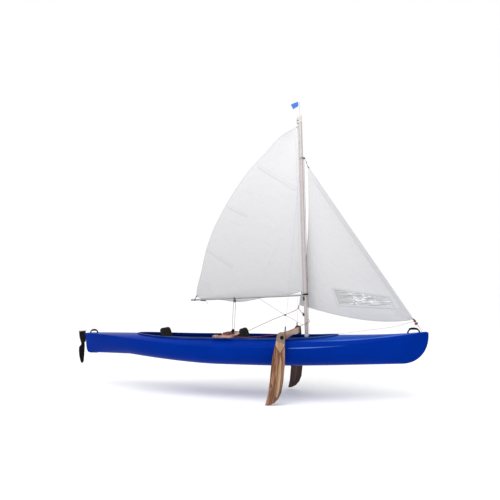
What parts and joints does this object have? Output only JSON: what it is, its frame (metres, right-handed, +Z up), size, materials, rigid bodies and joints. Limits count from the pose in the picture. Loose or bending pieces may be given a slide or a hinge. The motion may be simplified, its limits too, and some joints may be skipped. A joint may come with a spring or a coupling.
{
  "type": "sailing canoe",
  "caption": "Two-seat decked canoe with a stayed sloop rig, boomed mainsail, furling jib, twin leeboards and a kick-up rudder.",
  "frame": {"origin": "amidships on the outside of the flat keel plank", "axes": "+X towards the bow, +Y to port, +Z up towards the mast head"},
  "size_m": [5.158, 1.0792, 4.0384],
  "materials": {
    "blue_hull": "gloss",
    "black_plastic": "satin",
    "bright_metal": "brushed",
    "mast_alloy": "satin",
    "board_wood": "oiled",
    "thwart_wood": "varnished",
    "padded_cloth": "matte",
    "sail_cloth": "matte",
    "red_line": "matte",
    "pale_line": "matte",
    "pennant_blue": "matte"
  },
  "bodies": {
    "canoe": {"hull_shell": "blue_hull", "deck_shell": "blue_hull", "cockpit_coaming": "blue_hull", "stern_skid": "black_plastic", "bow_handle": "black_plastic", "stern_handle": "black_plastic", "bow_eye": "bright_metal", "seat_base_aft": "black_plastic", "seat_base_front": "black_plastic", "thwart_board": "thwart_wood", "cleat_base_starboard": "black_plastic", "cleat_base_port": "black_plastic", "sheet_block_lower": "black_plastic", "leeboard_beam": "thwart_wood", "beam_clamp_starboard": "bright_metal", "beam_clamp_port": "bright_metal", "mast_step": "black_plastic", "mast_tube": "mast_alloy", "mast_collar": "bright_metal", "mast_head": "bright_metal", "hounds_bracket": "black_plastic", "gooseneck": "black_plastic", "halyard_cleat": "black_plastic", "vang_cleat": "black_plastic", "shroud_starboard": "bright_metal", "shroud_port": "bright_metal", "turnbuckle_starboard": "black_plastic", "turnbuckle_port": "black_plastic", "jib_halyard": "red_line", "furling_line": "red_line", "bow_strop": "red_line", "rudder_bracket": "bright_metal", "mainsheet": "pale_line", "jib_sheet_port": "red_line", "jib_sheet_starboard": "red_line", "pedal_track": "bright_metal"},
    "boom_and_mainsail": {"boom": "mast_alloy", "boom_end_cap": "black_plastic", "mainsail": "sail_cloth", "sheet_block_upper": "black_plastic", "vang_line": "pale_line"},
    "furling_jib": {"jib_sail": "sail_cloth", "furler_drum": "black_plastic", "jib_swivel": "bright_metal"},
    "rudder_stock": {"rudder_head": "black_plastic", "rudder_yoke": "bright_metal"},
    "rudder_blade_body": {"rudder_blade": "black_plastic"},
    "leeboard_starboard_body": {"leeboard_starboard": "board_wood"},
    "leeboard_port_body": {"leeboard_port": "board_wood"},
    "knob_starboard_body": {"leeboard_knob_starboard": "black_plastic"},
    "knob_port_body": {"leeboard_knob_port": "black_plastic"},
    "seat_back_aft_body": {"seat_back_aft": "padded_cloth"},
    "seat_back_front_body": {"seat_back_front": "padded_cloth"},
    "pennant_body": {"wind_pennant": "pennant_blue"},
    "pedal_starboard_body": {"pedal_starboard": "black_plastic"},
    "pedal_port_body": {"pedal_port": "black_plastic"},
    "cam_starboard_inboard_body": {"cam_starboard_inboard": "black_plastic"},
    "cam_starboard_outboard_body": {"cam_starboard_outboard": "black_plastic"},
    "cam_port_inboard_body": {"cam_port_inboard": "black_plastic"},
    "cam_port_outboard_body": {"cam_port_outboard": "black_plastic"}
  },
  "joints": [
    {"name": "boom_swing", "type": "hinge", "parent": "canoe", "child": "boom_and_mainsail", "pos_m": [0.9237, 0, 0.924], "axis": [0, 0, 1], "range_deg": [-34, 55], "deforming": ["mainsheet"]},
    {"name": "jib_swing", "type": "hinge", "parent": "canoe", "child": "furling_jib", "pos_m": [2.33096, 0, 0.6], "axis": [0.525, 0, -0.8511], "range_deg": [0, 40], "deforming": ["jib_sheet_port", "jib_sheet_starboard"]},
    {"name": "rudder_steer", "type": "hinge", "parent": "canoe", "child": "rudder_stock", "pos_m": [-2.526, 0, 0.262], "axis": [0, 0, 1], "range_deg": [-40, 40]},
    {"name": "rudder_blade_lift", "type": "hinge", "parent": "rudder_stock", "child": "rudder_blade_body", "pos_m": [-2.598, 0, 0.285], "axis": [0, 1, 0], "range_deg": [0, 110]},
    {"name": "leeboard_starboard_swing", "type": "hinge", "parent": "canoe", "child": "leeboard_starboard_body", "pos_m": [0.754, -0.5013, 0.4096], "axis": [0, 1, 0], "range_deg": [-16, 74]},
    {"name": "leeboard_port_swing", "type": "hinge", "parent": "canoe", "child": "leeboard_port_body", "pos_m": [0.754, 0.5013, 0.4096], "axis": [0, 1, 0], "range_deg": [-12, 78]},
    {"name": "knob_starboard_turn", "type": "hinge", "parent": "canoe", "child": "knob_starboard_body", "pos_m": [0.754, -0.5156, 0.4096], "axis": [0, 1, 0], "continuous": true},
    {"name": "knob_port_turn", "type": "hinge", "parent": "canoe", "child": "knob_port_body", "pos_m": [0.754, 0.5156, 0.4096], "axis": [0, 1, 0], "continuous": true},
    {"name": "seat_back_aft_fold", "type": "hinge", "parent": "canoe", "child": "seat_back_aft_body", "pos_m": [-1.062, 0, 0.15], "axis": [0, 1, 0], "range_deg": [-5, 95]},
    {"name": "seat_back_front_fold", "type": "hinge", "parent": "canoe", "child": "seat_back_front_body", "pos_m": [0.155, 0, 0.15], "axis": [0, 1, 0], "range_deg": [-5, 95]},
    {"name": "pennant_turn", "type": "hinge", "parent": "canoe", "child": "pennant_body", "pos_m": [0.956, 0, 3.515], "axis": [0, 0, 1], "continuous": true},
    {"name": "pedal_starboard_slide", "type": "slide", "parent": "canoe", "child": "pedal_starboard_body", "axis": [1, 0, 0], "range_m": [-0.08, 0.08]},
    {"name": "pedal_port_slide", "type": "slide", "parent": "canoe", "child": "pedal_port_body", "axis": [1, 0, 0], "range_m": [-0.08, 0.08]},
    {"name": "cam_starboard_inboard_open", "type": "hinge", "parent": "canoe", "child": "cam_starboard_inboard_body", "pos_m": [-0.21129, -0.18892, 0.40412], "axis": [0, 0, 1], "range_deg": [-35, 0], "stiffness_Nm_per_rad": 0.05},
    {"name": "cam_starboard_outboard_open", "type": "hinge", "parent": "canoe", "child": "cam_starboard_outboard_body", "pos_m": [-0.21871, -0.22108, 0.40412], "axis": [0, 0, 1], "range_deg": [0, 35], "stiffness_Nm_per_rad": 0.05},
    {"name": "cam_port_inboard_open", "type": "hinge", "parent": "canoe", "child": "cam_port_inboard_body", "pos_m": [-0.15855, 0.12981, 0.40412], "axis": [0, 0, 1], "range_deg": [0, 35], "stiffness_Nm_per_rad": 0.05},
    {"name": "cam_port_outboard_open", "type": "hinge", "parent": "canoe", "child": "cam_port_outboard_body", "pos_m": [-0.17145, 0.16019, 0.40412], "axis": [0, 0, 1], "range_deg": [-35, 0], "stiffness_Nm_per_rad": 0.05}
  ],
  "couplings": [
    {"joint": "pedal_starboard_slide", "follows": "rudder_steer", "m_per_rad": 0.1},
    {"joint": "pedal_port_slide", "follows": "rudder_steer", "m_per_rad": -0.1},
    {"joint": "cam_starboard_inboard_open", "follows": "cam_starboard_outboard_open", "ratio": -1},
    {"joint": "cam_port_outboard_open", "follows": "cam_port_inboard_open", "ratio": -1}
  ]
}
